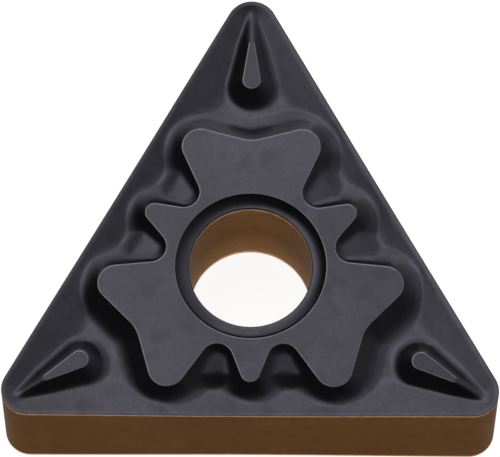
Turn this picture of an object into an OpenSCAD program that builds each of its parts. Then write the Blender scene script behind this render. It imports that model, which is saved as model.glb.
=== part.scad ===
// Triangular turning insert, double sided, with a sculpted chip breaker on both faces.
// The bore's axis is Z, the middle plane is Z = 0, and one corner points along +Y.
// Both faces are alike, so one sixth of one face is worked out and then repeated.

/* [Insert] */
// Diameter of the circle that just touches the three sides
inscribed_d = 9.525; // [9:0.125:11]
// Height from a seat face to the cutting corner on the far side
thickness = 4.76; // [4:0.01:6]
// Radius of the three corners, seen from above
nose_r = 0.8; // [0.6:0.1:1.2]
// How far the seat face stands above the cutting corners
seat_rise = 0.15; // [0.05:0.01:0.2]
// How far the cutting edge dips in the middle of a side
edge_dip = 0.09; // [0:0.01:0.15]

/* [Bore] */
// Diameter of the bore for the clamping pin
bore_d = 3.81; // [3.2:0.01:4.3]
// Width of the small bevel at the bore's mouth
bore_bevel = 0.035; // [0.01:0.005:0.1]
// Width of the dished ring round the bore
dish_w = 0.4; // [0.2:0.01:0.5]
// Depth of the dished ring at the bore
dish_depth = 0.185; // [0.1:0.005:0.25]

/* [Seat outline] */
// Width of the groove between a large lobe of the seat and the cutting edge
lobe_gap = 0.87; // [0.75:0.01:1]
// Radius of a large lobe
lobe_r = 0.58; // [0.45:0.01:0.65]
// Distance of a large lobe from the middle of its side
lobe_s = 2.57; // [2.4:0.01:2.8]
// Width of the groove between the small tongue of the seat and the cutting edge
tongue_gap = 1.015; // [0.85:0.005:1.2]
// Radius of the tongue's end
tongue_r = 0.3; // [0.2:0.01:0.35]
// Least width of the seat between a notch and the dished ring
seat_wall = 0.34; // [0.2:0.01:0.45]
// Radius at the bottom of a notch
notch_r = 0.5; // [0.47:0.01:0.55]
// Angle at the bore's axis between a notch and the middle of its side
notch_angle = 18.8; // [17.5:0.1:20]
// Depth of the hollow that faces each corner, below the two lobes beside it
hollow_depth = 0.36; // [0.2:0.01:0.5]
// Radius of that hollow
hollow_r = 1.1; // [0.8:0.05:1.4]

/* [Chip groove] */
// Depth of the groove's floor below the seat face
groove_depth = 0.43; // [0.38:0.01:0.5]
// Width of the land behind the cutting edge
land_w = 0.13; // [0.08:0.01:0.2]
// Slope of the land, down towards the groove
land_angle = 3; // [0:1:8]
// Slope of the rake face at the corners, down from the land to the groove's floor
rake_angle = 12.5; // [8:0.5:18]
// Slope of the rake face in the middle of a side
middle_angle = 16.5; // [10:0.5:22]
// Height over which the rake face melts into the floor
floor_blend = 0.05; // [0.02:0.01:0.1]
// Steepness of the seat's wall along the sides
wall_angle = 44; // [38:1:50]
// Height over which that wall melts into the groove
wall_blend = 0.4; // [0.2:0.01:0.42]
// Steepness of the seat's wall in the hollow that faces a corner
hollow_angle = 36.5; // [32:0.5:45]
// Height over which that wall melts into the groove
hollow_blend = 0.17; // [0.08:0.01:0.25]

/* [Ramps in the notches] */
// Distance of a ramp's outer edge from the side of the insert
ramp_gap = 1.32; // [1.2:0.01:1.4]
// Depth of that edge below the seat face
ramp_depth = 0.25; // [0.2:0.01:0.3]
// Slope of the ramp's top, up towards the bore
ramp_angle = 7.5; // [4:0.5:10]
// Slope of the ramp's front
ramp_front_angle = 27; // [22:1:35]
// Height over which a ramp melts into the groove
ramp_blend = 0.08; // [0.05:0.01:0.15]

/* [Corner ridges] */
// Distance of a ridge's outer end from the tip of the corner
ridge_gap = 0.3; // [0.26:0.005:0.45]
// Length of the crest, from its outer end to the flat top
crest_len = 1.1; // [0.9:0.01:1.25]
// Length of the flat top, from the crest to the centre of its round end
flat_len = 1.25; // [1:0.01:1.4]
// Radius of the flat top's round end
ridge_r = 0.285; // [0.2:0.005:0.35]
// Half width of the crest
crest_r = 0.065; // [0.03:0.005:0.1]
// Depth of the flat top below the seat face
ridge_drop = 0.01; // [0.005:0.005:0.05]
// Depth of the crest's outer end below the seat face
crest_drop = 0.26; // [0.22:0.01:0.32]
// Steepness of the ridge's sides
ridge_angle = 39.5; // [34:0.5:45]
// Height over which a ridge melts into the groove
ridge_blend = 0.1; // [0.05:0.01:0.18]

/* [Hidden] */
$fn = 96;

// Sides, corners and heights of the blank
corners = 3;
side_n = inscribed_d / 2;
nose_y = inscribed_d - 2 * nose_r;
seat_z = (thickness + seat_rise) / 2;
edge_z = seat_z - seat_rise;

// One sixth of the face lies between the middle of a side, at 30 degrees, and a corner, at 90
side_dir = 30;
corner_dir = 90;
function polar(r, a) = [r * cos(a), r * sin(a)];
// A place given by its distance along the side from the middle, and out from the bore's axis
function at_side(s, n) = s * polar(1, side_dir + 90) + n * polar(1, side_dir);
function along(p) = p * polar(1, side_dir + 90);
function outward(p) = p * polar(1, side_dir);
nose_s = along([0, nose_y]);

// Bore and dished ring
bore_r = bore_d / 2;
mouth_r = bore_r + bore_bevel;
dish_r = mouth_r + dish_w;
mouth_z = seat_z - dish_depth;
dish_round = (dish_w * dish_w + dish_depth * dish_depth) / (2 * dish_depth);

// The seat's outline is four arcs joined by straight lines that touch both
lobe_c = at_side(lobe_s, side_n - lobe_gap - lobe_r);
hollow_c = [0, lobe_c[1] + lobe_r - hollow_depth + hollow_r];
notch_c = polar(dish_r + seat_wall + notch_r, side_dir + notch_angle);
tongue_c = polar(side_n - tongue_gap - tongue_r, side_dir);

// Direction from a, of radius ra, to where a line touches it on its way across to b, of radius rb
function touch_dir(a, ra, b, rb, turn) =
    let (d = b - a) atan2(d[1], d[0]) + turn * acos((ra + rb) / norm(d));
hollow_end = touch_dir(hollow_c, hollow_r, lobe_c, lobe_r, -1);
lobe_end = touch_dir(lobe_c, lobe_r, notch_c, notch_r, 1);
notch_end = touch_dir(notch_c, notch_r, tongue_c, tongue_r, -1);

// Points on an arc, each with the direction that leads out of the seat; sense is -1 for a hollow arc
function arc(c, r, from, to, steps, sense = 1) =
    [for (i = [0:steps]) let (a = from + (to - from) * i / steps) [c + polar(r, a), polar(sense, a)]];
// Points between two arcs, on the straight line that joins them
function between(a, b, steps) =
    [for (i = [1:1:steps - 1]) [a[0] + (b[0] - a[0]) * i / steps, a[1]]];
bridge_steps = 2;
function last(list) = list[len(list) - 1];
function tail(list) = [for (i = [1:len(list) - 1]) list[i]];

hollow_arc = arc(hollow_c, hollow_r, -90, hollow_end, 3, -1);
lobe_back = arc(lobe_c, lobe_r, hollow_end + 180, side_dir, 4);
lobe_front = arc(lobe_c, lobe_r, side_dir, lobe_end, 3);
notch_arc = arc(notch_c, notch_r, lobe_end + 180, notch_end + 360, 6, -1);
tongue_arc = arc(tongue_c, tongue_r, notch_end + 180, side_dir, 4);
// From the hollow on the corner's line to the start of the lobe
seat_corner = concat(hollow_arc, between(last(hollow_arc), lobe_back[0], bridge_steps), [lobe_back[0]]);
// From there to the tongue in the middle of the side
seat_side = concat(
    lobe_back, tail(lobe_front),
    between(last(lobe_front), notch_arc[0], bridge_steps), notch_arc,
    between(last(notch_arc), tongue_arc[0], bridge_steps), tongue_arc);
seat_outline = [for (p = concat(seat_corner, tail(seat_side))) p[0]];

// Distance from p to the line from a to b, and to a path of such lines
function line_gap(p, a, b) =
    let (d = b - a, t = max(0, min(1, (p - a) * d / (d * d)))) norm(p - a - t * d);
function path_gap(p, path) = min([for (i = [1:len(path) - 1]) line_gap(p, path[i - 1], path[i])]);
// Distance from p to the side, or to the rounded corner
function edge_gap(p) =
    along(p) < nose_s ? side_n - outward(p) : nose_r - norm(p - [0, nose_y]);
// The higher of two surfaces, melted together where they are less than k apart
function melt(a, b, k) = let (h = max(0, min(1, 0.5 + (a - b) / (2 * k)))) b + (a - b) * h + k * h * (1 - h);
// A wave that falls from 1 at s = 0 to 0 at s = reach
function wave(s, reach) = (1 + cos(180 * max(0, min(1, s / reach)))) / 2;

// The ridge on the corner's line: a flat top with a round end, and a crest that falls outwards
crest_y = inscribed_d - nose_r - ridge_gap;
flat_y = crest_y - crest_len;
round_y = flat_y - flat_len;
function ridge_half(y) = lookup(y, [[round_y, ridge_r], [flat_y, crest_r]]);
function ridge_z(y) =
    seat_z - lookup(y, [[round_y, ridge_drop], [flat_y, ridge_drop], [crest_y, crest_drop]]);
function nearest_y(p) = max(round_y, min(crest_y, p[1]));
function ridge_dist(p) = norm(p - [0, nearest_y(p)]) - ridge_half(nearest_y(p));

// Height of the face at p, which lies at distance d outside the seat. The rake face falls from the cutting
// edge to the groove's floor; the seat's wall, a ramp in each notch and the ridge rise from it.
ramp_n = side_n - ramp_gap;
function mix(a, b, f) = a + (b - a) * f;
function face_z(p, d) = let (
    s = along(p),
    n = outward(p),
    rim = edge_gap(p),
    middle = wave(s, nose_s),
    cut_z = edge_z - edge_dip * middle,
    land_z = cut_z - tan(land_angle) * min(rim, land_w),
    rake_z = land_z - mix(tan(rake_angle), tan(middle_angle), middle) * max(0, rim - land_w),
    groove_z = melt(rake_z, seat_z - groove_depth, floor_blend),
    side = wave(s - lobe_s, lobe_r),
    wall_z = seat_z - mix(tan(hollow_angle), tan(wall_angle), side) * d,
    foot_z = melt(groove_z, wall_z, mix(hollow_blend, wall_blend, side)),
    ramp_z = seat_z - ramp_depth + min(tan(ramp_angle) * (ramp_n - n), tan(ramp_front_angle) * (ramp_n - n)),
    notch_z = s < lobe_s ? melt(foot_z, ramp_z, ramp_blend) : foot_z,
    side_z = ridge_z(nearest_y(p)) - tan(ridge_angle) * max(0, ridge_dist(p))
) melt(notch_z, side_z, ridge_blend);

// A point of the face
function face(p) = [p[0], p[1], face_z(p, path_gap(p, seat_outline))];

// The wall is followed by rows at even distances from the seat's outline, the first one inside it
lap = 0.1;
wall_rows = 4;
wall_reach = 0.9 * notch_r;
seat_line = concat(seat_corner, tail(seat_side));
wall_grid = concat(
    [[for (q = seat_line) let (p = q[0] - lap * q[1]) [p[0], p[1], face_z(p, -lap)]]],
    [for (i = [1:wall_rows]) [for (q = seat_line) face(q[0] + wall_reach * i / wall_rows * q[1])]]);

// From the wall's foot, columns run straight out to the land, with a point on each side of a ramp's edge
land_n = side_n - land_w;
ramp_row = 0.15;
floor_rows = 5;
floor_spread = 1.2;
function floor_share(i) = pow(i / (floor_rows + 1), floor_spread);
function floor_n(n, i) = max(ramp_n - lap + (i - 1) * ramp_row, mix(n, land_n, floor_share(i)));
function foot_column(q) = let (foot = q[0] + wall_reach * q[1], s = along(foot), n = outward(foot)) concat(
    [foot], [for (i = [1:floor_rows]) at_side(s, floor_n(n, i))],
    [at_side(s, land_n), at_side(s, side_n + lap)]);
side_grid = [for (q = seat_side) [for (p = foot_column(q)) face(p)]];

// Stations round half a ridge: the round end, the flat top, the crest and the tip, each with its direction
round_steps = 8;
flat_steps = 5;
crest_steps = 4;
tip_steps = 3;
ridge_stations = concat(
    [for (i = [0:round_steps]) [round_y, -90 + 90 * i / round_steps]],
    [for (i = [1:flat_steps]) [mix(round_y, flat_y, i / flat_steps), 0]],
    [for (i = [1:crest_steps]) [mix(flat_y, crest_y, i / crest_steps), 0]],
    [for (i = [1:tip_steps]) [crest_y, 90 * i / tip_steps]]);
// How far the grid reaches out beside the round end, and beside the crest
round_reach = 0.6;
crest_reach = 0.2;
tip_reach = (ridge_gap - land_w - ridge_half(crest_y)) / 2;
// Distance from the middle of an oval, of half widths ra and rb, to its edge in direction a
function oval(ra, rb, a) = 1 / norm([cos(a) / ra, sin(a) / rb]);
function foot_radius(y, a) =
    let (side = ridge_half(y) + lookup(y, [[round_y, round_reach], [crest_y, crest_reach]]))
    a > 0 ? oval(side, ridge_half(y) + tip_reach, a) : side;
function ridge_point(st, f) =
    [0, st[0]] + mix(ridge_half(st[0]), foot_radius(st[0], st[1]), f) * polar(1, st[1]);

// The block round the ridge ends at the wall's foot, at the first column, and at the land
first_column = foot_column(seat_side[0]);
first_s = along(first_column[0]);
straight_steps = 5;
nose_steps = 4;
function nose_point(r, i) = [0, nose_y] + polar(r, side_dir + (corner_dir - side_dir) * i / nose_steps);
function corner_line(n, r) = concat(
    [for (i = [1:straight_steps]) at_side(mix(first_s, nose_s - lap, i / straight_steps), n)],
    [for (i = [1:nose_steps]) nose_point(r, i)]);
land_line = corner_line(land_n, nose_r - land_w);
lap_line = corner_line(side_n + lap, nose_r + lap);
block_edge = concat(
    [for (q = seat_corner) q[0] + wall_reach * q[1]],
    [for (i = [1:floor_rows + 1]) first_column[i]], land_line);
ridge_grid = concat(
    [[for (st = ridge_stations) face([0, st[0]])]],
    [for (f = [0:3]) [for (st = ridge_stations) face(ridge_point(st, f / 3))]],
    [for (f = [1:3]) [for (i = [0:len(ridge_stations) - 1])
        face(mix(ridge_point(ridge_stations[i], 1), block_edge[i], f / 3))]]);
land_grid = [
    [for (p = concat([first_column[floor_rows + 1]], land_line)) face(p)],
    [for (p = concat([last(first_column)], lap_line)) face(p)]];

// Two triangles for each cell of a grid, leaving out those that have no area
function plan_area(t) = cross(
    [t[1][0] - t[0][0], t[1][1] - t[0][1]], [t[2][0] - t[0][0], t[2][1] - t[0][1]]) / 2;
function cells(grid) = [for (i = [1:len(grid) - 1], j = [1:len(grid[0]) - 1])
    let (a = grid[i - 1][j - 1], b = grid[i][j - 1], c = grid[i][j], d = grid[i - 1][j])
        each [[a, b, c], [a, c, d]]];
min_area = 0.0000001;
cap_centre = [0, 0, wall_grid[0][0][2]];
cap = [for (j = [1:len(wall_grid[0]) - 1]) [cap_centre, wall_grid[0][j - 1], wall_grid[0][j]]];
sixth = [for (t = concat(cap, cells(wall_grid), cells(side_grid), cells(ridge_grid), cells(land_grid)))
    if (abs(plan_area(t)) > min_area) plan_area(t) < 0 ? t : [t[0], t[2], t[1]]];
rim = concat([for (i = [len(lap_line) - 1:-1:0]) face(lap_line[i])], [for (column = side_grid) last(column)]);
function under(p) = [p[0], p[1], -p[2]];
band = [for (i = [1:len(rim) - 1])
    each [[rim[i - 1], under(rim[i - 1]), under(rim[i])], [rim[i - 1], under(rim[i]), rim[i]]]];

// The sixth, its mirror image, and their turns about the bore's axis, rounded so that copies meet exactly
grain = 0.0001;
function snap(v) = [for (c = v) sign(c) * floor(abs(c) / grain + 0.51) * grain];
function place(p, side, a) = let (x = side * p[0], y = p[1])
    snap([x * cos(a) - y * sin(a), x * sin(a) + y * cos(a), p[2]]);
function reverse(t) = [t[0], t[2], t[1]];
function all_round(triangles) = [for (k = [0:corners - 1], side = [-1, 1], t = triangles)
    let (u = [for (p = t) place(p, side, 360 * k / corners)]) side > 0 ? u : reverse(u)];
upper = all_round(sixth);
lower = [for (t = upper) reverse([for (p = t) under(p)])];
form = concat(upper, lower, all_round(band));

// The pressed form: both sculpted faces, reaching a little past the blank's sides
module pressed_form() {
    polyhedron(
        points = [for (t = form) each t],
        faces = [for (i = [0:len(form) - 1]) [3 * i, 3 * i + 1, 3 * i + 2]],
        convexity = 6);
}

// The blank: flat sides, round corners, and both seat faces
module blank() {
    corner_dirs = [for (k = [0:corners - 1]) corner_dir + k * 360 / corners];
    half_turn = 180 / corners;
    linear_extrude(2 * seat_z, center = true) {
        polygon([for (a = corner_dirs, t = [-half_turn, half_turn]) polar(nose_y, a) + polar(nose_r, a + t)]);
        for (a = corner_dirs) translate(polar(nose_y, a)) circle(r = nose_r);
    }
}

// The bore, and at each mouth its bevel and the dished ring, a ring of round section
module bore() {
    cylinder(r = bore_r, h = 4 * seat_z, center = true);
    for (side = [0, 1]) mirror([0, 0, side]) {
        translate([0, 0, mouth_z - bore_bevel])
            cylinder(r1 = bore_r, r2 = bore_r + 2 * bore_bevel, h = 2 * bore_bevel);
        rotate_extrude() translate([mouth_r, mouth_z + dish_round]) circle(r = dish_round);
    }
}

module insert() {
    color("#4b4a50") difference() {
        intersection() {
            blank();
            pressed_form();
        }
        bore();
    }
}

insert();
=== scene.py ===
# %% [markdown]
# # A triangular turning insert
# A turning insert is the replaceable cutting tip of a lathe tool. It is one piece of cemented carbide:
# powder is pressed into this shape and sintered, the sides are ground, and a coating goes on that is a few
# micrometres thick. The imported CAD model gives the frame. Its one solid is replaced here by a finer mesh of
# the same shape, with the small roundings that catch the light.

# %% The frame
import math

import bmesh
import bpy
import numpy as np
from mathutils import Matrix, Vector


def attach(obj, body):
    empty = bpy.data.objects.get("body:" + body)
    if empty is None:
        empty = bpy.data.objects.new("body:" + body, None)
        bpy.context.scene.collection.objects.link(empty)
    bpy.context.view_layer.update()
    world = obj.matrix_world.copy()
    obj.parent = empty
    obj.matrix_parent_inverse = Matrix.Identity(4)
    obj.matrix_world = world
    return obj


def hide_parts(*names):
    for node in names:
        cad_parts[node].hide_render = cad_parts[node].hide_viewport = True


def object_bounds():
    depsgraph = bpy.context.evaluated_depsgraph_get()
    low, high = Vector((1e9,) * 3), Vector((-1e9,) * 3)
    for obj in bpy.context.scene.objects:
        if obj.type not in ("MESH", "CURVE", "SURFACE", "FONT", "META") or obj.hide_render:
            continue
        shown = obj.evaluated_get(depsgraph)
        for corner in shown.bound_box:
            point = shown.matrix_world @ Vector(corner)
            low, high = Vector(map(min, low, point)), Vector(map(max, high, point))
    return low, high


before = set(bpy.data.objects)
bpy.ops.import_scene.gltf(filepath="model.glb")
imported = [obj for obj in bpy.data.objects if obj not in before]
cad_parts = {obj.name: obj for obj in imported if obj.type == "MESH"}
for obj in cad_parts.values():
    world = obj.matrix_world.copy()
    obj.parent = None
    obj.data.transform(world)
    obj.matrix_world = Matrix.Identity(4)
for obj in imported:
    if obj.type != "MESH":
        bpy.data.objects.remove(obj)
cad_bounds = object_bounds()
MM = 0.001
print("CAD nodes:", list(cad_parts))
print("CAD box in mm:", [[round(c / MM, 3) for c in corner] for corner in cad_bounds])

# %% [markdown]
# ## Camera
# The picture was taken with a long lens from high above, so the three sides hardly converge.
# The camera could be placed by eye, but then every rim would be a little off. Its place was solved from the
# outline, the front cutting edge, the lower edge, and the rims of the bore and of the dished ring. The lens
# follows from how many pixels a millimetre covers at the aim, and the object's real size stays untouched.

# %% Camera
PHOTO_WIDTH = 500
ELEVATION = math.radians(72.4226)
ROLL = math.radians(0.2896)
DISTANCE = 206.878 * MM
AIM = Vector((-0.0265, 1.9876, 0.0)) * MM
PIXELS_PER_MM = 31.88
SENSOR_WIDTH = 36.0

back = Vector((0.0, -math.cos(ELEVATION), math.sin(ELEVATION)))
level = (-back).cross(Vector((0, 0, 1))).normalized()
upright = level.cross(-back)
right = math.cos(ROLL) * level + math.sin(ROLL) * upright
up = math.cos(ROLL) * upright - math.sin(ROLL) * level

camera = bpy.data.objects.new("camera", bpy.data.cameras.new("camera"))
bpy.context.collection.objects.link(camera)
turned = Matrix((right, up, back)).transposed().to_4x4()
camera.matrix_world = Matrix.Translation(AIM + DISTANCE * back) @ turned
camera.data.sensor_width = SENSOR_WIDTH
camera.data.lens = SENSOR_WIDTH * PIXELS_PER_MM * (DISTANCE / MM) / PHOTO_WIDTH
camera.data.clip_start = 10 * MM
bpy.context.scene.camera = camera
print("lens in mm:", round(camera.data.lens, 2))

# %% [markdown]
# ## Sizes
# The sizes are those of the CAD model, in millimetres. Its box gives the seat's height, the distance from
# the bore's axis to a side, and the corners' radius. The insert is its own mirror image about each corner's
# line and about its middle plane. So one twelfth of it holds the whole shape: the wedge of the upper face
# between the middle of a side, at 30 degrees, and a corner, at 90 degrees.

# %% Sizes
# The box is read to a tenth of a micrometre
DIGITS = 4
SIDE_N = round(-cad_bounds[0][1] / MM, DIGITS)
NOSE_R = round(2 * SIDE_N - cad_bounds[1][1] / MM, DIGITS)
NOSE_Y = 2 * (SIDE_N - NOSE_R)
SEAT_Z = round(cad_bounds[1][2] / MM, DIGITS)
# A corner's cutting edge lies below the seat, and the edge dips between two corners
SEAT_RISE = 0.15
EDGE_Z = SEAT_Z - SEAT_RISE
EDGE_DIP = 0.09
BORE_R = 3.81 / 2
BEVEL = 0.035
MOUTH_R = BORE_R + BEVEL
DISH_W = 0.4
DISH_DEPTH = 0.185
DISH_R = MOUTH_R + DISH_W
SIDE_DIR = math.radians(30)
CORNER_DIR = math.radians(90)
print("side, corner radius and seat in mm:", SIDE_N, NOSE_R, SEAT_Z)


def polar(r, a):
    return np.array([r * math.cos(a), r * math.sin(a)])


OUT = polar(1, SIDE_DIR)
ALONG = polar(1, SIDE_DIR + math.pi / 2)
NOSE_S = float(np.dot((0, NOSE_Y), ALONG))


def at_side(s, n):
    """The point that lies s along the side from its middle, and n out from the bore's axis."""
    return np.multiply.outer(s, ALONG) + np.multiply.outer(n, OUT)


# %% [markdown]
# ## Outline of the seat
# The flat seat rises like an island between three corners. It could be drawn by hand as a curve, but the
# real die is cut with round tools. So the outline is made of arcs that touch: a shallow hollow that faces
# the corner, a large lobe, a notch, and a small tongue in the middle of the side. A tangent line joins each
# arc to the next. The outline is sampled finely, and each point keeps the direction that leads out of the
# seat, because every row of the wall's mesh is an offset of this curve.

# %% Circles of the outline
LOBE_R, HOLLOW_R, NOTCH_R, TONGUE_R = 0.58, 1.1, 0.5, 0.3
LOBE_S, LOBE_GAP, TONGUE_GAP = 2.57, 0.87, 1.015
HOLLOW_DEPTH, SEAT_WALL, NOTCH_TURN = 0.36, 0.34, math.radians(18.8)
lobe_c = at_side(LOBE_S, SIDE_N - LOBE_GAP - LOBE_R)
hollow_c = np.array([0, lobe_c[1] + LOBE_R - HOLLOW_DEPTH + HOLLOW_R])
notch_c = polar(DISH_R + SEAT_WALL + NOTCH_R, SIDE_DIR + NOTCH_TURN)
tongue_c = polar(SIDE_N - TONGUE_GAP - TONGUE_R, SIDE_DIR)
for name, centre in (("lobe", lobe_c), ("hollow", hollow_c), ("notch", notch_c), ("tongue", tongue_c)):
    print(f"centre of the {name} in mm:", centre.round(3))

# %% Arcs and the lines between them
# Points lie at most STEP mm apart, and even a short arc has FEWEST of them
STEP = 0.075
FEWEST = 3


def touch_dir(a, ra, b, rb, turn):
    """The direction from centre a to the point where the line that crosses over to circle b touches."""
    d = b - a
    return math.atan2(d[1], d[0]) + turn * math.acos((ra + rb) / np.hypot(*d))


def arc(c, r, start, end, sense):
    """Points on an arc, each with the direction that leads out of the seat."""
    angles = np.linspace(start, end, max(FEWEST, math.ceil(r * abs(end - start) / STEP) + 1))
    ways = np.stack([np.cos(angles), np.sin(angles)], axis=1)
    return np.hstack([c + r * ways, sense * ways])


def bridge(a, b):
    """Points on the straight line between two arcs, without its ends."""
    steps = math.ceil(np.hypot(*(b[0, :2] - a[-1, :2])) / STEP)
    share = np.arange(1, steps)[:, None] / steps
    return a[-1] + (b[0] - a[-1]) * share


# %% Outline from the corner's line to the middle of the side
hollow_end = touch_dir(hollow_c, HOLLOW_R, lobe_c, LOBE_R, -1)
lobe_end = touch_dir(lobe_c, LOBE_R, notch_c, NOTCH_R, 1)
notch_end = touch_dir(notch_c, NOTCH_R, tongue_c, TONGUE_R, -1)
hollow = arc(hollow_c, HOLLOW_R, -math.pi / 2, hollow_end, -1)
lobe_back = arc(lobe_c, LOBE_R, hollow_end + math.pi, SIDE_DIR, 1)
lobe_front = arc(lobe_c, LOBE_R, SIDE_DIR, lobe_end, 1)
notch = arc(notch_c, NOTCH_R, lobe_end + math.pi, notch_end + 2 * math.pi, -1)
tongue = arc(tongue_c, TONGUE_R, notch_end + math.pi, SIDE_DIR, 1)

corner_part = np.vstack([hollow, bridge(hollow, lobe_back), lobe_back[:1]])
side_part = np.vstack([
    lobe_back, lobe_front[1:], bridge(lobe_front, notch), notch, bridge(notch, tongue), tongue])
outline = np.vstack([corner_part, side_part[1:]])
print("points on one sixth of the seat's outline:", len(outline))

# %% [markdown]
# ## Height of the face
# The chip breaker is a landscape that curls the chip and breaks it. It could be joined from solids with
# Boolean and Bevel modifiers, but they leave creases where so many soft walls meet. So it is one smooth
# height over the plan, and the highest of four surfaces wins: the groove, whose rake face sinks from the
# cutting edge to its floor; the seat's wall; a ramp in each notch; and the ridge on the corner's line.
# Where two of them come close they melt together, as they do in a pressed part, whose die has no sharp
# inner corners. The seat's height caps them, with a rounded rim.

# %% Slopes, depths and blends
LAND_SLOPE, RAKE, MIDDLE_RAKE = (math.tan(math.radians(a)) for a in (3, 12.5, 16.5))
WALL, HOLLOW_WALL, RIDGE_SIDE = (math.tan(math.radians(a)) for a in (44, 34.5, 39.5))
RAMP_TOP, RAMP_FRONT = (math.tan(math.radians(a)) for a in (7.5, 27))
GROOVE, LAND_W, RAMP_N, RAMP_DEPTH = 0.43, 0.13, SIDE_N - 1.32, 0.25
FLOOR_BLEND, WALL_BLEND, HOLLOW_BLEND, RAMP_BLEND, RIDGE_BLEND = 0.05, 0.4, 0.17, 0.08, 0.1
# Roundings of a rim and of the crest
RIM_BLEND, CREST_BLEND = 0.02, 0.09
# The ridge: round towards the bore, flat on top, and a crest that falls towards the corner
RIDGE_R, CREST_R, RIDGE_DROP, CREST_DROP = 0.285, 0.085, 0.01, 0.26
RIDGE_GAP, CREST_LENGTH, FLAT_LENGTH = 0.3, 1.1, 1.25
CREST_Y = 2 * SIDE_N - NOSE_R - RIDGE_GAP
FLAT_Y = CREST_Y - CREST_LENGTH
ROUND_Y = FLAT_Y - FLAT_LENGTH
# The rim of the flat top widens into the crest's rounding between these two places
ROUNDING_Y = [FLAT_Y - 0.05, FLAT_Y + 0.25]
print("the ridge's parts meet at, in mm:", [round(y, 3) for y in (ROUND_Y, FLAT_Y, CREST_Y)])


# %% Soft meetings and soft changes
def melt(a, b, k):
    """The higher of two surfaces, melted together where they are less than k apart."""
    h = np.clip(0.5 + (a - b) / (2 * k), 0, 1)
    return b + (a - b) * h + k * h * (1 - h)


def wave(s, reach):
    """1 where s is 0 or less, falling smoothly to 0 at the reach."""
    return (1 + np.cos(np.pi * np.clip(s / reach, 0, 1))) / 2


# %% Distance from the seat, and the ridge
def ridge_half(y):
    return np.interp(y, [ROUND_Y, FLAT_Y], [RIDGE_R, CREST_R])


def seat_distance(p):
    """Distance from points outside the seat to its outline."""
    a = outline[:-1, :2]
    d = outline[1:, :2] - a
    q = p[:, None, :] - a
    t = np.clip((q * d).sum(2) / (d * d).sum(1), 0, 1)
    return np.sqrt(((q - t[:, :, None] * d) ** 2).sum(2).min(1))


def ridge_height(p):
    """Height of the ridge and of its sides, which fall away all round it."""
    nearest = np.clip(p[:, 1], ROUND_Y, CREST_Y)
    beside = np.hypot(p[:, 0], p[:, 1] - nearest) - ridge_half(nearest)
    crest_z = SEAT_Z - np.interp(nearest, [ROUND_Y, FLAT_Y, CREST_Y], [RIDGE_DROP, RIDGE_DROP, CREST_DROP])
    rounding = np.interp(nearest, ROUNDING_Y, [RIM_BLEND, CREST_BLEND])
    return crest_z - RIDGE_SIDE * melt(0, beside, rounding)


# %% Height of the face
def face_height(p, d=None):
    """Height at each point, which lies d outside the seat's outline."""
    if d is None:
        d = seat_distance(p)
    s, n = p @ ALONG, p @ OUT
    rim = np.where(s < NOSE_S, SIDE_N - n, NOSE_R - np.hypot(p[:, 0], p[:, 1] - NOSE_Y))
    middle = wave(s, NOSE_S)
    land_z = EDGE_Z - EDGE_DIP * middle - LAND_SLOPE * np.clip(rim, 0, LAND_W)
    rake_z = land_z - (RAKE + (MIDDLE_RAKE - RAKE) * middle) * np.maximum(0, rim - LAND_W)
    groove_z = melt(rake_z, SEAT_Z - GROOVE, FLOOR_BLEND)
    side = wave(s - LOBE_S, LOBE_R)
    slope = HOLLOW_WALL + (WALL - HOLLOW_WALL) * side
    height = melt(groove_z, SEAT_Z - slope * d, HOLLOW_BLEND + (WALL_BLEND - HOLLOW_BLEND) * side)
    ramp_z = SEAT_Z - RAMP_DEPTH + np.minimum(RAMP_TOP * (RAMP_N - n), RAMP_FRONT * (RAMP_N - n))
    height = np.where(s < LOBE_S, melt(height, ramp_z, RAMP_BLEND), height)
    height = melt(height, ridge_height(p), RIDGE_BLEND)
    return -melt(-SEAT_Z, -height, RIM_BLEND)


edge_ends = np.array([polar(SIDE_N, SIDE_DIR), (0, 2 * SIDE_N - NOSE_R)])
print("cutting edge's height at mid side and corner in mm:", face_height(edge_ends).round(3))

# %% [markdown]
# ## Mesh of one twelfth
# A plain square grid at that height would be shorter to write, but a grid that follows the features gives
# cleaner highlights, because each rim and each foot has its own rows. Close rows at a rim make its small
# rounding. Each block of the grid also says where the bronze shows, and how much painted highlight each
# point gets: 1 on a rim's pale painted line, 0 on the plain coating, and less than 0 where the colour is
# darker.

# %% Blocks of the mesh
blocks = []


def add_block(name, rows, ground=False, painted_highlight=()):
    """Keeps a grid of points. Ground faces show bronze, and the last argument gives some rows a painted
    highlight, a pale line, or below 0 a darker colour.
    """
    grid = np.array(rows, dtype=float)
    highlight_amount = np.zeros(grid.shape[:2])
    for row, amount in dict(painted_highlight).items():
        highlight_amount[row] = amount
    blocks.append((grid, ground, highlight_amount))
    print(f"{name}: {grid.shape[0] - 1} x {grid.shape[1] - 1} cells")


def on_face(p, d=None):
    return np.column_stack([p, face_height(p, d)])


def offset_row(part, d):
    return part[:, :2] + d * part[:, 2:]


def from_to(first, last, steps):
    """Rows that lead from one row of points to another, without the first."""
    return [first + (last - first) * share for share in np.linspace(0, 1, steps + 1)[1:]]


# %% [markdown]
# ### The seat and its wall
# Rows run beside the seat's outline, from its rounded rim down to the foot of the wall. Inside the rim the
# seat is flat, and its rows lead over to the circle of the dished ring.

# %% Seat and its wall
# The third row lies on the rounding, and there a pale line is painted on the rim as a highlight
RIM_ROWS = [-0.055, -0.03, -0.012, 0.0, 0.014, 0.028, 0.045]
RIM_HIGHLIGHT = {1: 0.1, 2: 1}
WALL_START, WALL_REACH, WALL_STEPS = 0.09, 0.9 * NOTCH_R, 15
wall_rows = RIM_ROWS + list(np.linspace(WALL_START, WALL_REACH, WALL_STEPS))
add_block(
    "seat wall", [on_face(offset_row(outline, d), np.full(len(outline), d)) for d in wall_rows],
    painted_highlight=RIM_HIGHLIGHT)

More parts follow.
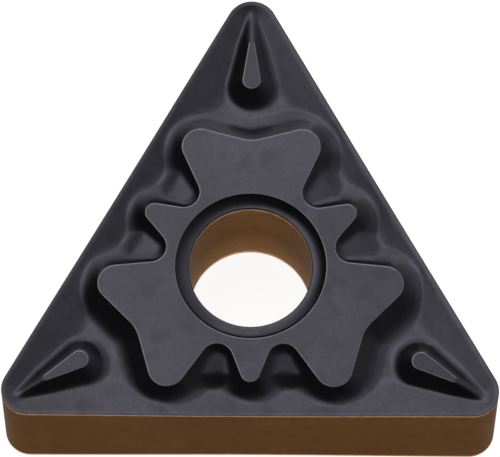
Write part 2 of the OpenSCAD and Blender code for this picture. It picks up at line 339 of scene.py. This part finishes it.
DISH_RIM_ROWS = [0.04, 0.025, 0.01, 0, -0.014, -0.025, -0.04]
SEAT_STEPS = 4
seat_rim = offset_row(outline, RIM_ROWS[0])
seat_angles = np.arctan2(seat_rim[:, 1], seat_rim[:, 0])
ring = np.stack([np.cos(seat_angles), np.sin(seat_angles)], axis=1)
ring[0], ring[-1] = polar(1, CORNER_DIR), polar(1, SIDE_DIR)
seat_rows = [seat_rim] + from_to(seat_rim, ring * (DISH_R + DISH_RIM_ROWS[0]), SEAT_STEPS)
add_block("seat", [np.column_stack([p, np.full(len(p), SEAT_Z)]) for p in seat_rows])

# %% [markdown]
# ### The dished ring and the bore
# A round groove rings the bore, and a clamping pin's head can seat there. The bore's mouth is rounded, and
# its wall goes straight down to the middle plane. A painted highlight makes the bronze bright in a band
# under the mouth, and painted light makes the wall below a little paler.

# %% Dished ring and bore
DISH_ROUND = (DISH_W ** 2 + DISH_DEPTH ** 2) / (2 * DISH_DEPTH)
DISH_START, DISH_STEPS, MOUTH_GAP = -0.08, 7, 0.02
MOUTH_Z = SEAT_Z - DISH_DEPTH
QUARTER = np.linspace(0, math.pi / 2, 5)
BORE_ROWS = [MOUTH_Z - 0.17, MOUTH_Z - 0.24, 1.5, 0.8, 0]
# Painted highlight in a band under the mouth, and painted light that makes the wall below paler
BORE_PAINTED_LIGHT = {0: 1, 1: 1, 2: 0.25, 3: 0.2, 4: 0.14, 5: 0.08}


def dish_height(r):
    """The dished ring is a round groove, deepest at the bore's mouth, with a rounded outer rim."""
    across = (r - MOUTH_R) / DISH_ROUND
    bowl = MOUTH_Z + DISH_ROUND * (1 - np.sqrt(1 - across ** 2))
    return -melt(-SEAT_Z, -bowl, RIM_BLEND)


def ring_row(r, z):
    return np.column_stack([ring * r, np.full(len(ring), z)])


dish_radii = [DISH_R + d for d in DISH_RIM_ROWS]
dish_radii += list(np.linspace(DISH_R + DISH_START, MOUTH_R + MOUTH_GAP, DISH_STEPS))
# The dished ring's rim gets the same painted highlight
add_block("dished ring", [ring_row(r, dish_height(r)) for r in dish_radii], painted_highlight=RIM_HIGHLIGHT)
mouth = [ring_row(MOUTH_R + MOUTH_GAP, dish_height(MOUTH_R + MOUTH_GAP))]
for a in QUARTER:
    mouth.append(ring_row(MOUTH_R - BEVEL * math.sin(a), MOUTH_Z - BEVEL * (1 - math.cos(a))))
# The mouth's lowest row gets a painted highlight, a pale line
add_block("mouth of the bore", mouth, painted_highlight={len(QUARTER): 1})
add_block("bore", [mouth[-1]] + [ring_row(BORE_R, z) for z in BORE_ROWS], ground=True, painted_highlight=BORE_PAINTED_LIGHT)

# %% [markdown]
# ### The groove, the cutting edge and the ground side
# Straight columns cross the groove to the land, the narrow strip behind the cutting edge. The edge is honed
# to a tiny rounding, because a sharp one would chip. Below it is the ground side, down to the middle plane.

# %% Groove and edge
LAND_N = SIDE_N - LAND_W
HONE = 0.006
GROOVE_STEPS = 12
LAND_ROWS = [LAND_W, 0.1, 0.07, 0.045, HONE]
SIDE_ROWS = [0.07, 0.13, 1.2]
# The top of the ground side gets a painted highlight, a bright bronze line under the edge
EDGE_HIGHLIGHT = {0: 1, 1: 1}

foot = offset_row(side_part, WALL_REACH)
foot_s = foot @ ALONG
groove_rows = [foot] + from_to(foot, at_side(foot_s, np.full(len(foot_s), LAND_N)), GROOVE_STEPS)
add_block("groove", [on_face(p) for p in groove_rows])


def edge_rows(line_at, name):
    """The land, the honed edge and the ground side, along a line that is given by its gap to the edge."""
    land = [on_face(line_at(gap)) for gap in LAND_ROWS]
    top = land[-1][:, 2]
    hone = [land[-1]]
    for a in QUARTER[1:]:
        hone.append(np.column_stack([line_at(HONE - HONE * math.sin(a)), top - HONE * (1 - math.cos(a))]))
    lowest = hone[-1][:, 2]
    below = [np.column_stack([line_at(0), lowest - drop]) for drop in SIDE_ROWS]
    below.append(np.column_stack([line_at(0), 0 * lowest]))
    add_block(name + ", land", land)
    add_block(name + ", hone", hone)
    add_block(name + ", ground side", [hone[-1]] + below, ground=True, painted_highlight=EDGE_HIGHLIGHT)


edge_rows(lambda gap: at_side(foot_s, np.full(len(foot_s), SIDE_N - gap)), "side")

# %% [markdown]
# ### The corner and its ridge
# Rings surround the ridge and spread out to a frame: the foot of the seat's wall, the first column of the
# groove, and the corner's land. The stations along the ridge are shared out so that each faces its own
# point of that frame, which keeps the cells from twisting. The flat top is darker than the seat in the
# picture, so its colour is made darker, and a highlight is painted on its rim.

# %% The corner's cutting edge
STRAIGHT_STEPS, NOSE_STEPS = 22, 16
straight_s = foot_s[0] + (NOSE_S - foot_s[0]) * np.linspace(0, 1, STRAIGHT_STEPS + 1)
nose_dirs = np.linspace(SIDE_DIR, CORNER_DIR, NOSE_STEPS + 1)[1:]
nose_ways = np.stack([np.cos(nose_dirs), np.sin(nose_dirs)], axis=1)


def corner_line(gap):
    """The line inside the edge, from the groove's first column round to the corner's line."""
    return np.vstack([
        at_side(straight_s, np.full(len(straight_s), SIDE_N - gap)),
        np.array([0, NOSE_Y]) + (NOSE_R - gap) * nose_ways])


edge_rows(corner_line, "corner")

# %% Stations along the ridge
# Shares of the ridge that face the wall's foot, the first column, the straight land and the corner's round
FRAME_SHARES = [5, 6, 5, 4]
# The same shares by the ridge's own parts: round end, flat top, crest and tip
ROUND_SHARE, FLAT_SHARE, CREST_SHARE, TIP_SHARE = np.cumsum([8, 5, 4, 3])
ROUND_REACH, CREST_REACH = 0.6, 0.2

first_column = np.array([row[0] for row in groove_rows])
frame_parts = [offset_row(corner_part, WALL_REACH), first_column[1:], corner_line(LAND_W)[1:]]
ridge_frame = np.vstack(frame_parts)
steps = [len(corner_part) - 1, GROOVE_STEPS, STRAIGHT_STEPS, NOSE_STEPS]
shares = [0.0]
for share, count in zip(FRAME_SHARES, steps):
    shares += list(shares[-1] + share * np.linspace(0, 1, count + 1)[1:])

station_y = np.interp(shares, [ROUND_SHARE, FLAT_SHARE, CREST_SHARE], [ROUND_Y, FLAT_Y, CREST_Y])
station_a = np.radians(np.interp(shares, [0, ROUND_SHARE, CREST_SHARE, TIP_SHARE], [-90, 0, 0, 90]))
station_way = np.stack([np.cos(station_a), np.sin(station_a)], axis=1)
station_way[0, 0] = station_way[-1, 0] = 0
half = ridge_half(station_y)
side_reach = half + np.interp(station_y, [ROUND_Y, CREST_Y], [ROUND_REACH, CREST_REACH])
tip_reach = half[-1] + (RIDGE_GAP - LAND_W - half[-1]) / 2
oval = 1 / np.hypot(station_way[:, 0] / side_reach, station_way[:, 1] / tip_reach)
reach = np.where(station_a > 0, oval, side_reach)
print("stations along half a ridge:", len(station_y))

# %% Rings round the ridge
RIDGE_RIM_ROWS = [-0.04, -0.016, 0, 0.025]
RIDGE_WALL_STEPS, RIDGE_FLOOR_STEPS = 7, 8
DARKER_END = FLAT_Y + 0.1
middle = np.column_stack([np.zeros(len(station_y)), station_y])


def ridge_row(r):
    return middle + r[:, None] * station_way


ridge_rows = [middle] + [ridge_row(half + d) for d in RIDGE_RIM_ROWS]
ridge_rows += from_to(ridge_rows[-1], ridge_row(reach), RIDGE_WALL_STEPS)
ridge_rows += from_to(ridge_rows[-1], ridge_frame, RIDGE_FLOOR_STEPS)
# The round end and the flat top are made darker, and the flat top's rim gets a painted highlight
darker_top = np.where(station_y < DARKER_END, -1.0, 0.0)
ridge_rim_highlight = np.where(station_y < FLAT_Y, 1.0, 0.0)
add_block("ridge", [on_face(p) for p in ridge_rows], painted_highlight={0: darker_top, 1: darker_top, 2: ridge_rim_highlight})

# %% [markdown]
# ### One mesh of all the blocks
# Blocks that meet have the same points along their seam, so the seams can be merged later. Two attributes
# go along: the faces say where the bronze shows, which the tree below reads, and the points say how much
# painted highlight, or darker colour, they get, which the coatings read.

# %% One mesh of all the blocks
points, cells, ground_cells, highlight_points = [], [], [], []
start = 0
for grid, ground, highlight_amount in blocks:
    rows, columns = grid.shape[:2]
    index = start + np.arange(rows * columns).reshape(rows, columns)
    quads = np.stack([index[:-1, :-1], index[1:, :-1], index[1:, 1:], index[:-1, 1:]], axis=2)
    points.append(grid.reshape(-1, 3))
    cells.append(quads.reshape(-1, 4))
    ground_cells.append(np.full(len(cells[-1]), ground))
    highlight_points.append(highlight_amount.reshape(-1))
    start += rows * columns

twelfth_mesh = bpy.data.meshes.new("insert_twelfth")
twelfth_mesh.from_pydata((np.vstack(points) * MM).tolist(), [], np.vstack(cells).tolist())
ground_flag = twelfth_mesh.attributes.new("ground", "BOOLEAN", "FACE")
ground_flag.data.foreach_set("value", np.concatenate(ground_cells))
# Per point: above 0 a pale line painted as a highlight, below 0 a darker colour
highlight_flag = twelfth_mesh.attributes.new("painted_highlight", "FLOAT", "POINT")
highlight_flag.data.foreach_set("value", np.concatenate(highlight_points).astype(np.float32))
print("cells in one twelfth:", len(twelfth_mesh.polygons))

# %% [markdown]
# ## Colours and nodes
# Colours are written as sRGB hex values, as a paint program shows them, and one function turns them into
# the linear values that Blender calculates with. One more function adds a node with its settings and links.


# %% Colours and nodes
def srgb(code):
    """An sRGB hex colour as linear red, green, blue and alpha."""
    values = [int(code[i:i + 2], 16) / 255 for i in (1, 3, 5)]
    return [v / 12.92 if v <= 0.04045 else ((v + 0.055) / 1.055) ** 2.4 for v in values] + [1.0]


def add_node(tree, kind, inputs=(), **settings):
    """Adds a node. Inputs are values, or other nodes' outputs to link to."""
    node = tree.nodes.new(kind)
    for name, value in settings.items():
        setattr(node, name, value)
    for name, value in dict(inputs).items():
        if isinstance(value, bpy.types.NodeSocket):
            tree.links.new(value, node.inputs[name])
        else:
            node.inputs[name].default_value = value
    return node


def new_material(name):
    material = bpy.data.materials.new(name)
    material.use_nodes = True
    material.node_tree.nodes.clear()
    return material, material.node_tree


print("middle grey, #808080, in linear values:", round(srgb("#808080")[0], 3))

# %% [markdown]
# ## Coatings
# The faces carry a dark grey oxide, deposited from vapour on the pressed and blasted carbide. It reflects
# as a dark metal does, softly. On the ground sides and in the bore the top layer is bronze, and rougher.
# To the renderer both are metals with the default IOR, and the coating's colour is their reflection. The
# tint takes some of the white away that a metal gets at a grazing angle.
#
# Painted images could show a used coating too, but noises keep their real size all over the piece. Clouds,
# 3 mm, are slow changes in the coating's thickness. Smudges, 0.7 mm, are marks of handling. A noise of
# 0.25 mm breaks up the painted highlight, the pale line on a rim. Specks come from blasting grit of about
# 0.05 mm, and the grain is that of the carbide, about 0.002 mm. Both are too fine to show in the picture,
# so specks are drawn at 0.13 mm, about 4 pixels, and the grain at 0.05 mm, about 2 pixels.

# %% Patterns of a coating
# Size in mm, detail, the stretch of the noise that is used, and the least and the most that it gives
PATTERNS = {
    "clouds": (3.0, 2.0, 0.35, 0.65, 0, 1),
    "smudges": (0.7, 4.0, 0.5, 0.72, 0, 1),
    "specks": (0.13, 3.0, 0.4, 0.75, 0, 0.7),
    # This noise breaks up the painted highlight on the rims
    "highlight_amount": (0.25, 2.0, 0.3, 0.6, 0.6, 1),
    "grain": (0.05, 2.0, 0, 1, 0, 1),
}
GRAIN_HEIGHT = 0.0006 * MM
print("patterns and their sizes in mm:", {name: values[0] for name, values in PATTERNS.items()})


def add_patterns(tree):
    """One output for each pattern, all on the piece's own place."""
    place = add_node(tree, "ShaderNodeTexCoord").outputs["Object"]
    outputs = {}
    for name, (size, detail, start, end, least, most) in PATTERNS.items():
        noise = add_node(tree, "ShaderNodeTexNoise", {
            "Vector": place, "Scale": 1 / (size * MM), "Detail": detail})
        outputs[name] = add_node(tree, "ShaderNodeMapRange", {
            "Value": noise.outputs[0], "From Min": start, "From Max": end,
            "To Min": least, "To Max": most}).outputs[0]
    return outputs


# %% Both coatings
def coating(name, low, high, smudge, painted_highlight, roughness, tint):
    """A metal that goes from low to high in clouds, with smudges and specks, paler where a highlight is
    painted, and darker where the attribute is below 0.
    """
    material, tree = new_material(name)
    patterns = add_patterns(tree)
    highlight_amount = add_node(tree, "ShaderNodeAttribute", attribute_name="painted_highlight").outputs["Fac"]
    # Painted highlight: the pale colour, broken up by a noise, goes where the attribute is above 0
    highlighted = add_node(tree, "ShaderNodeMath", {0: highlight_amount, 1: patterns["highlight_amount"]}, operation="MULTIPLY")
    # Below 0 the attribute darkens the colour towards the smudge colour
    darkened = add_node(tree, "ShaderNodeMapRange", {"Value": highlight_amount, "From Min": 0, "From Max": -1})
    colour = srgb(low)
    for amount, other in (
            (patterns["clouds"], high), (patterns["smudges"], smudge), (patterns["specks"], smudge),
            (darkened.outputs[0], smudge), (highlighted.outputs[0], painted_highlight)):
        mixed = add_node(tree, "ShaderNodeMix", {0: amount, 6: colour, 7: srgb(other)}, data_type="RGBA")
        colour = mixed.outputs[2]
    bump = add_node(tree, "ShaderNodeBump", {
        "Strength": 1.0, "Distance": GRAIN_HEIGHT, "Height": patterns["grain"]}).outputs["Normal"]
    shader = add_node(tree, "ShaderNodeBsdfPrincipled", {
        "Base Color": colour, "Metallic": 1.0, "Roughness": roughness, "Specular Tint": srgb(tint),
        "Normal": bump}, distribution="GGX")
    add_node(tree, "ShaderNodeOutputMaterial", {"Surface": shader.outputs["BSDF"]})
    return material


# The last colour of each coating is the pale one of its painted highlights
face_coating = coating(
    "vapour_deposited_dark_coating", low="#535259", high="#5b5964", smudge="#4d4c52", painted_highlight="#a8a7af",
    roughness=0.24, tint="#bcbcbc")
side_coating = coating(
    "vapour_deposited_bronze_coating", low="#67472f", high="#6e4d33", smudge="#61422b", painted_highlight="#e0ac7c",
    roughness=0.5, tint="#b8b2aa")
print("coatings:", face_coating.name, side_coating.name)

# %% [markdown]
# ## The whole insert
# The tool repeats itself: a mirror image across the corner's line, three turns about the bore, and the same
# again below. Mirror and Array modifiers could do that one by one, but Geometry Nodes say it in one tree,
# with the number of corners as an input. A mirror turns a part inside out, so the image's faces are
# flipped, and then all the seams are merged.

# %% Tree that repeats the twelfth
repeat = bpy.data.node_groups.new("repeat_round_bore", "GeometryNodeTree")
for name, kind in (
        ("Twelfth", "Geometry"), ("Corners", "Int"), ("Seam", "Float"), ("Faces", "Material"),
        ("Ground sides", "Material")):
    repeat.interface.new_socket(name, in_out="INPUT", socket_type="NodeSocket" + kind)
repeat.interface.new_socket("Insert", in_out="OUTPUT", socket_type="NodeSocketGeometry")
given = add_node(repeat, "NodeGroupInput").outputs


def with_mirror_image(geometry, scale):
    image = add_node(repeat, "GeometryNodeTransform", {"Geometry": geometry, "Scale": scale})
    flipped = add_node(repeat, "GeometryNodeFlipFaces", {"Mesh": image.outputs[0]})
    both = add_node(repeat, "GeometryNodeJoinGeometry", {"Geometry": geometry})
    repeat.links.new(flipped.outputs[0], both.inputs[0])
    return both.outputs[0]


print("sockets of the tree:", [item.name for item in repeat.interface.items_tree])

# %% One corner, its turns round the bore, and the half below
corner = with_mirror_image(given["Twelfth"], (-1, 1, 1))
places = add_node(repeat, "GeometryNodePoints", {"Count": given["Corners"]})
turn = add_node(repeat, "ShaderNodeMath", {0: 2 * math.pi, 1: given["Corners"]}, operation="DIVIDE")
index = add_node(repeat, "GeometryNodeInputIndex")
angle = add_node(repeat, "ShaderNodeMath", {0: index.outputs[0], 1: turn.outputs[0]}, operation="MULTIPLY")
spin = add_node(repeat, "ShaderNodeCombineXYZ", {"Z": angle.outputs[0]})
copies = add_node(repeat, "GeometryNodeInstanceOnPoints", {
    "Points": places.outputs[0], "Instance": corner, "Rotation": spin.outputs[0]})
face = add_node(repeat, "GeometryNodeRealizeInstances", {"Geometry": copies.outputs[0]})
whole = with_mirror_image(face.outputs[0], (1, 1, -1))
merged = add_node(repeat, "GeometryNodeMergeByDistance", {"Geometry": whole, "Distance": given["Seam"]})
smooth = add_node(repeat, "GeometryNodeSetShadeSmooth", {"Geometry": merged.outputs[0]})
real = add_node(repeat, "GeometryNodeRealizeInstances", {"Geometry": smooth.outputs[0]})
dark = add_node(repeat, "GeometryNodeSetMaterial", {
    "Geometry": real.outputs[0], "Material": given["Faces"]})
is_ground = add_node(repeat, "GeometryNodeInputNamedAttribute", {"Name": "ground"}, data_type="BOOLEAN")
bronze = add_node(repeat, "GeometryNodeSetMaterial", {
    "Geometry": dark.outputs[0], "Selection": is_ground.outputs["Attribute"],
    "Material": given["Ground sides"]})
add_node(repeat, "NodeGroupOutput", {"Insert": bronze.outputs[0]})
print("nodes in the tree:", len(repeat.nodes))

# %% The tree's result as a plain mesh
CORNERS = 3
SEAM = 0.0004 * MM
twelfth = bpy.data.objects.new("insert_twelfth", twelfth_mesh)
bpy.context.collection.objects.link(twelfth)
modifier = twelfth.modifiers.new("repeat", "NODES")
modifier.node_group = repeat
socket = {item.name: item.identifier for item in repeat.interface.items_tree if item.in_out == "INPUT"}
modifier[socket["Corners"]] = CORNERS
modifier[socket["Seam"]] = SEAM
modifier[socket["Faces"]] = face_coating
modifier[socket["Ground sides"]] = side_coating
evaluated = twelfth.evaluated_get(bpy.context.evaluated_depsgraph_get())
body_mesh = bpy.data.meshes.new_from_object(evaluated)
twelfth.modifiers.remove(modifier)
bpy.data.objects.remove(twelfth)
print("points of the whole insert:", len(body_mesh.vertices))

# %% [markdown]
# ### A closed shell
# A rendered piece should be one closed shell with its faces outwards. Cells without area, such as those
# round the two ends of a ridge, are dissolved first. A volume near the CAD solid's 481 cubic mm shows that
# nothing is missing.

# %% A closed shell
NOTHING = 0.0002 * MM
shell = bmesh.new()
shell.from_mesh(body_mesh)
bmesh.ops.dissolve_degenerate(shell, dist=NOTHING, edges=shell.edges)
bmesh.ops.recalc_face_normals(shell, faces=shell.faces)
open_edges = sum(1 for edge in shell.edges if len(edge.link_faces) != 2)
print("open edges:", open_edges, "volume in cubic mm:", round(shell.calc_volume() / MM ** 3, 2))
shell.to_mesh(body_mesh)
shell.free()
body_mesh.calc_loop_triangles()
print("triangles:", len(body_mesh.loop_triangles))

# %% The finished piece
# It rides on the only body, and stands for the CAD model's node
body = bpy.data.objects.new("insert_body", body_mesh)
bpy.context.collection.objects.link(body)
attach(body, "root")
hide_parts("insert")
print("piece in place of the CAD model's node:", body.name)

# %% [markdown]
# ## Table and white background
# The insert lies on a table of paper, which is matt, so the insert's shadow shows on it but no reflection.
# More light would make the paper white, and would change the insert too. So the paper and the world behind
# it shine through Light Path, and only to the camera, to mirrors and to glass. The picture is white, and
# the metal shows that white. The table is small: the walls of the chip groove look out almost level over
# the edge, and with a wide table they would show white paper there and not the dark cards of the tent.

# %% Table
TABLE_HALF = 30 * MM
PAPER, PAPER_GLOW = "#e4e4e4", "#f3f3f3"


def seen_directly(tree):
    """1 for a ray from the camera, a mirror or glass, and 0 for one from a matt surface."""
    ray = add_node(tree, "ShaderNodeLightPath").outputs
    seen = ray["Is Camera Ray"]
    for other in ("Is Glossy Ray", "Is Transmission Ray"):
        seen = add_node(tree, "ShaderNodeMath", {0: seen, 1: ray[other]}, operation="MAXIMUM").outputs[0]
    return seen


table_mesh = bpy.data.meshes.new("table")
table_mesh.from_pydata(
    [(x * TABLE_HALF, y * TABLE_HALF, -SEAT_Z * MM) for x, y in ((-1, -1), (1, -1), (1, 1), (-1, 1))],
    [], [(0, 1, 2, 3)])
table = bpy.data.objects.new("table", table_mesh)
bpy.context.collection.objects.link(table)
table_paper, tree = new_material("matt_white_paper")
shader = add_node(tree, "ShaderNodeBsdfPrincipled", {
    "Base Color": srgb(PAPER), "Roughness": 0.9, "Specular IOR Level": 0.0,
    "Emission Color": srgb(PAPER_GLOW), "Emission Strength": seen_directly(tree)})
add_node(tree, "ShaderNodeOutputMaterial", {"Surface": shader.outputs["BSDF"]})
table_mesh.materials.append(table_paper)
print("side of the table in mm:", round(2 * TABLE_HALF / MM))

# %% White background
world = bpy.data.worlds.new("white_room")
bpy.context.scene.world = world
world.use_nodes = True
tree = world.node_tree
tree.nodes.clear()
sky = add_node(tree, "ShaderNodeBackground", {"Color": (1, 1, 1, 1), "Strength": seen_directly(tree)})
add_node(tree, "ShaderNodeOutputWorld", {"Surface": sky.outputs[0]})
print("nodes in the background:", len(tree.nodes))

# %% [markdown]
# ## Light tent
# Small shiny tools are photographed in a tent of soft cloth. Here a softbox with a slanting edge glows
# behind the insert and to its left. The other cloth is dimmer, and fades towards the right. Dark cards in
# front and on the left keep the walls of the chip groove dark. Lamps and cards could be objects of their
# own, but metal would show the gaps between them. So the tent is a dome that the camera doesn't see, and
# its brightness depends only on the direction: one material holds softbox, cloth and cards.

# %% The dome and the direction of each point on it
TENT_R = 1.0
BOX_SLANT = 0.52
bpy.ops.mesh.primitive_uv_sphere_add(segments=48, ring_count=24, radius=TENT_R)
tent = bpy.context.object
tent.name = "light_tent"
tent.visible_camera = False
tent_cloth, tree = new_material("white_cloth_and_black_card")
where = add_node(tree, "ShaderNodeTexCoord").outputs["Object"]
unit = add_node(tree, "ShaderNodeVectorMath", {0: where}, operation="NORMALIZE")
way = add_node(tree, "ShaderNodeSeparateXYZ", {0: unit.outputs[0]}).outputs
slope = add_node(tree, "ShaderNodeMath", {0: way["Y"], 1: BOX_SLANT}, operation="MULTIPLY").outputs[0]
slant = add_node(tree, "ShaderNodeMath", {0: way["X"], 1: slope}, operation="SUBTRACT").outputs[0]
print("diameter of the tent in m:", 2 * TENT_R)

# %% Soft edges of the softbox, the cloth and the cards
# Along which direction, where the edge starts and ends, and the brightness at its start and its end
SOFT_EDGES = {
    "softbox side": (slant, -0.15, -0.09, 1, 0),
    "softbox top": (way["Y"], 0.42, 0.5, 0.91, 0.47),
    "right cloth": (way["X"], 0.4, 1.0, 0.35, 0.08),
    "left card": (way["X"], -0.96, 0.07, 0, 1),
    "front card": (way["Y"], -0.29, 0.28, 0, 1),
    "far cloth": (way["Y"], 0.9, 0.98, 1, 0.72),
    "right glimmer": (way["X"], -0.4, 0.4, 0, 0.08),
    "front glimmer": (way["Y"], -0.9, -0.1, 0, 1),
}
soft = {}
for part, (value, start, end, low, high) in SOFT_EDGES.items():
    soft[part] = add_node(tree, "ShaderNodeMapRange", {
        "Value": value, "From Min": start, "From Max": end, "To Min": low, "To Max": high},
        interpolation_type="SMOOTHSTEP").outputs[0]
print("soft edges in the tent:", len(soft))

# %% Brightness of the tent
# The softbox and the cloth, shaded by the cards, and then what glimmers even in the darkest card
DARKEST = 0.042
glow = soft["softbox side"]
for operation, part in (
        ("MULTIPLY", "softbox top"), ("ADD", "right cloth"), ("MULTIPLY", "left card"),
        ("MULTIPLY", "front card"), ("MULTIPLY", "far cloth")):
    glow = add_node(tree, "ShaderNodeMath", {0: glow, 1: soft[part]}, operation=operation).outputs[0]
glimmer = add_node(tree, "ShaderNodeMath", {
    0: soft["right glimmer"], 1: soft["front glimmer"], 2: DARKEST}, operation="MULTIPLY_ADD").outputs[0]
glow = add_node(tree, "ShaderNodeMath", {0: glow, 1: glimmer}, operation="ADD").outputs[0]
light = add_node(tree, "ShaderNodeEmission", {"Color": (1, 1, 1, 1), "Strength": glow})
add_node(tree, "ShaderNodeOutputMaterial", {"Surface": light.outputs[0]})
tent.data.materials.append(tent_cloth)
print("nodes in the tent's cloth:", len(tree.nodes))

# %% [markdown]
# ## The end
# The Standard view shows the colours as they were calculated. The dressed insert has to stay inside the
# CAD model's box.

# %% Look of the picture, and the end
bpy.context.scene.view_settings.view_transform = "Standard"
